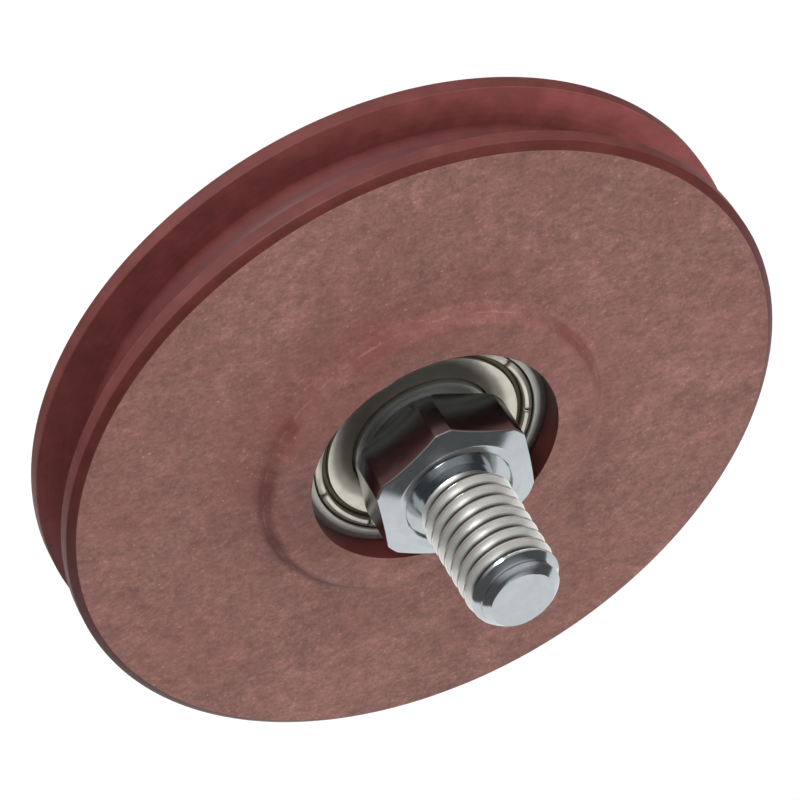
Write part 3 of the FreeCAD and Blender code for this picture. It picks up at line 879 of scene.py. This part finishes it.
class ROPEPULLEY_OT_axle(bpy.types.Operator):
    """Makes the axle: threaded stud, hexagon, collar and journal"""
    bl_idname = "rope_pulley.axle"
    bl_label = "Axle"

    def execute(self, context):
        size = millimetres(context.scene.rope_pulley_axle)
        bm = self.head_and_journal(size)
        self.add_stud(bm, size)
        thread_start = STUD_TIP + 1.6
        thread_end = HEXAGON_FACE - 0.45
        within_hexagon = 6.0

        def surface_of(face):
            """0 turned and plated, 1 thread, 2 side of the hexagon."""
            middle = face.calc_center_median()
            y = middle.y / MM
            if thread_start < y < thread_end:
                return 1
            on_side = HEXAGON_FACE < y < HEXAGON_BACK and radius_of(middle) > within_hexagon
            faces_outwards = abs(face.normal.y) < 0.2
            return 2 if on_side and faces_outwards else 0

        makers = (bright_zinc_plate, rolled_zinc_thread, zinc_plated_bar)
        finish_piece("plated_axle", bm, "axle", [shared(maker) for maker in makers],
                     ["axle"], surface_of, sharp_degrees=28.0)
        return {"FINISHED"}

    def hexagon_radius(self, size, angle):
        """Distance from the axis to the hexagon's side, whose corners are turned round."""
        corner_angle = 39.4
        corner_radius = 7.15
        turn = (angle - corner_angle - 30) % 60
        off_flat = math.radians(turn if turn <= 30 else turn - 60)
        return min(size.flats / 2 / math.cos(off_flat), corner_radius)

    def head_and_journal(self, size):
        """Spun blank, whose wide rings are then drawn in to the hexagon's sides."""
        edge_break = 0.06
        back_start = 6.9
        recess = 4.6
        recess_floor = HEXAGON_FACE + 0.4
        collar = 5.7
        journal = 3.99
        end_chamfer = 0.4
        slot_floor = 3.8
        slot_front, slot_back = WASHER_BACK - 0.05, WASHER_BACK + 0.85
        margin = 0.06
        side_margin = 0.16
        beyond = size.flats
        near_edge = beyond - 1
        behind_edge = HEXAGON_FACE + 1.5
        points = [
            (0, recess_floor),
            (recess, recess_floor),
            (recess, HEXAGON_FACE),
            (recess + 0.2, HEXAGON_FACE),
            (FACE_RADIUS - margin, HEXAGON_FACE),
            (FACE_RADIUS, HEXAGON_FACE),
            (FACE_RADIUS + margin, HEXAGON_FACE + margin * FRONT_SLOPE),
            (near_edge, HEXAGON_FACE + 0.9),
            (beyond, HEXAGON_FACE + 1.0),
            (beyond, behind_edge),
            (beyond, HEXAGON_BACK - 1.0),
            (back_start, HEXAGON_BACK),
            (collar, HEXAGON_BACK),
            (collar, -BEARING_HALF),
            (journal, -BEARING_HALF),
            (journal, slot_front),
            (slot_floor, slot_front),
            (slot_floor, slot_back),
            (journal, slot_back),
            (journal, JOURNAL_END - end_chamfer),
            (journal - end_chamfer, JOURNAL_END),
            (0, JOURNAL_END),
        ]
        bm = spun(points, steps=480)
        near = 0.01
        front_edge = []
        for corner in bm.verts:
            radius = radius_of(corner.co)
            if radius < back_start - near:
                continue
            limit = self.hexagon_radius(size, math.degrees(math.atan2(corner.co.z, corner.co.x)))
            new_radius, new_y = limit, corner.co.y / MM
            front = HEXAGON_FACE + (limit - FACE_RADIUS) * FRONT_SLOPE
            if abs(radius - near_edge) < near:
                new_radius = limit - side_margin
                new_y = front - side_margin * FRONT_SLOPE
            elif radius < beyond - near:
                new_radius = limit - edge_break if limit < radius + edge_break else radius
            elif abs(new_y - behind_edge) < near:
                new_y = front + side_margin
            elif new_y < (HEXAGON_FACE + HEXAGON_BACK) / 2:
                new_y = front
                front_edge.append(corner)
            else:
                new_y = HEXAGON_BACK - max(edge_break, limit - back_start)
            move_corner(corner, new_radius / radius)
            corner.co.y = new_y * MM
        round_rings(bm, [(recess, HEXAGON_FACE), (recess, recess_floor)], width=0.15, segments=3)
        round_rings(bm, [(collar, HEXAGON_BACK), (collar, -BEARING_HALF)], width=0.12)
        edges = [edge for edge in bm.edges if all(corner in front_edge for corner in edge.verts)]
        round_edges(bm, edges, width=0.09)
        return bm

    def stud_end_radius(self, y):
        """Radius of the stud's rounded end, from the end face to the full diameter."""
        places = [(-22.4, 2.7), (-22.1, 3.09), (-21.8, 3.38), (-21.5, 3.58), (-21.1, 3.76), (-20.7, 3.88),
                  (-20.3, 3.95)]
        for (low, small), (high, large) in zip(places, places[1:]):
            if y <= high:
                return small + (large - small) * max(0.0, y - low) / (high - low)
        return places[-1][1]

    def add_stud(self, bm, size):
        """Helical thread, spun one pitch at a time, with a rounded end and a smooth neck."""
        full_depth, rolled_share = 0.6134, 0.93
        crest = size.stud
        root = crest - full_depth * size.pitch * rolled_share
        neck = 3.25
        neck_end = -10.78
        buried = HEXAGON_FACE + 0.5
        pitch = size.pitch
        wave_pitch = 1.25
        steps = 72
        wave = [
            (crest, 0.0),
            (crest - 0.01, 0.055),
            (crest - 0.06, 0.105),
            (root + 0.12, 0.4),
            (root + 0.02, 0.5),
            (root, 0.625),
            (root + 0.02, 0.75),
            (root + 0.12, 0.85),
            (crest - 0.06, 1.145),
            (crest - 0.01, 1.195),
            (crest, wave_pitch),
        ]
        start = STUD_TIP - pitch * 1.5
        turns = math.ceil((buried - start) / pitch)
        stud = bmesh.new()
        wire = profile_run(stud, [(radius, start + y * pitch / wave_pitch) for radius, y in wave],
                           closed=False)
        bmesh.ops.spin(stud, geom=wire, cent=CENTRE, axis=AXIS, dvec=(0, pitch * MM / steps, 0),
                       angle=FULL_TURN * turns, steps=steps * turns, use_merge=False, use_duplicate=False)
        bmesh.ops.remove_doubles(stud, verts=stud.verts, dist=WIDE_WELD)
        for corner in stud.verts:
            radius = radius_of(corner.co)
            y = corner.co.y / MM
            fade = neck + max(0.0, neck_end - y)
            new_radius = min(radius, self.stud_end_radius(y), fade)
            if y > neck_end:
                new_radius = neck
            move_corner(corner, new_radius / radius)
        for place, direction in ((STUD_TIP, -1), (buried, 1)):
            bmesh.ops.bisect_plane(stud, geom=[*stud.verts, *stud.edges, *stud.faces], dist=WELD,
                                   plane_co=(0, place * MM, 0), plane_no=(0, direction, 0), clear_outer=True)
            rim = [edge for edge in stud.edges if edge.is_boundary
                   and all(abs(corner.co.y / MM - place) < SAME_PLACE for corner in edge.verts)]
            bmesh.ops.edgeloop_fill(stud, edges=rim)
        bmesh.ops.recalc_face_normals(stud, faces=stud.faces)
        mesh = bpy.data.meshes.new("stud_part")
        stud.to_mesh(mesh)
        stud.free()
        bm.from_mesh(mesh)
        bpy.data.meshes.remove(mesh)


class ROPEPULLEY_OT_retainers(bpy.types.Operator):
    """Makes the thrust washer and the retaining ring behind the bearing"""
    bl_idname = "rope_pulley.retainers"
    bl_label = "Washer and retaining ring"

    def execute(self, context):
        inner, outer = 4.09, extent("thrust_washer", 0)[1]
        points = [(inner, BEARING_HALF), (outer, BEARING_HALF), (outer, WASHER_BACK), (inner, WASHER_BACK)]
        bm = spun(points, steps=160)
        round_rings(bm, points[1:], width=0.08)
        finish_piece("washer", bm, "axle", [shared(bright_zinc_plate)],
                     ["thrust_washer"])
        self.soften("retaining_ring", "snap_ring")
        return {"FINISHED"}

    def soften(self, node, name):
        """Merged copy of a stamped CAD node, with its edges broken."""
        bm = bmesh.new()
        bm.from_mesh(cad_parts[node].data)
        bmesh.ops.remove_doubles(bm, verts=bm.verts, dist=WIDE_WELD)
        bmesh.ops.dissolve_limit(bm, angle_limit=math.radians(1), verts=bm.verts, edges=bm.edges)
        piece = finish_piece(name, bm, "axle", [shared(phosphated_spring_steel)], [node])
        edge = piece.modifiers.new("broken_edges", "BEVEL")
        edge.width = 0.06 * MM
        edge.segments = 2
        edge.limit_method = "ANGLE"
        edge.angle_limit = math.radians(50)


# Panel and registration

class ROPEPULLEY_PT_sidebar(bpy.types.Panel):
    """Sizes, colours and steps of the rope pulley"""
    bl_label = "Rope pulley"
    bl_space_type = "VIEW_3D"
    bl_region_type = "UI"
    bl_category = "Rope pulley"

    def draw(self, context):
        for group, name in GROUPS.items():
            box = self.layout.box()
            for setting in group.__annotations__:
                box.prop(getattr(context.scene, name), setting)
        for operator in OPERATORS:
            self.layout.operator(operator.bl_idname)


GROUPS = {
    RopePulleyWheel: "rope_pulley_wheel",
    RopePulleyBearing: "rope_pulley_bearing",
    RopePulleyAxle: "rope_pulley_axle",
    RopePulleyColours: "rope_pulley_colours",
    RopePulleyStage: "rope_pulley_stage",
}
OPERATORS = (
    ROPEPULLEY_OT_stage,
    ROPEPULLEY_OT_wheel,
    ROPEPULLEY_OT_bearing,
    ROPEPULLEY_OT_axle,
    ROPEPULLEY_OT_retainers,
)


def register():
    for group, name in GROUPS.items():
        bpy.utils.register_class(group)
        setattr(bpy.types.Scene, name, PointerProperty(type=group))
    for operator in OPERATORS:
        bpy.utils.register_class(operator)
    bpy.utils.register_class(ROPEPULLEY_PT_sidebar)


def unregister():
    bpy.utils.unregister_class(ROPEPULLEY_PT_sidebar)
    for operator in reversed(OPERATORS):
        bpy.utils.unregister_class(operator)
    for group, name in GROUPS.items():
        delattr(bpy.types.Scene, name)
        bpy.utils.unregister_class(group)


def main():
    """Makes every piece."""
    register()
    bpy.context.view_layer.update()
    bpy.ops.rope_pulley.stage()
    bpy.ops.rope_pulley.wheel()
    bpy.ops.rope_pulley.bearing()
    bpy.ops.rope_pulley.axle()
    bpy.ops.rope_pulley.retainers()


if __name__ == "__main__":
    main()
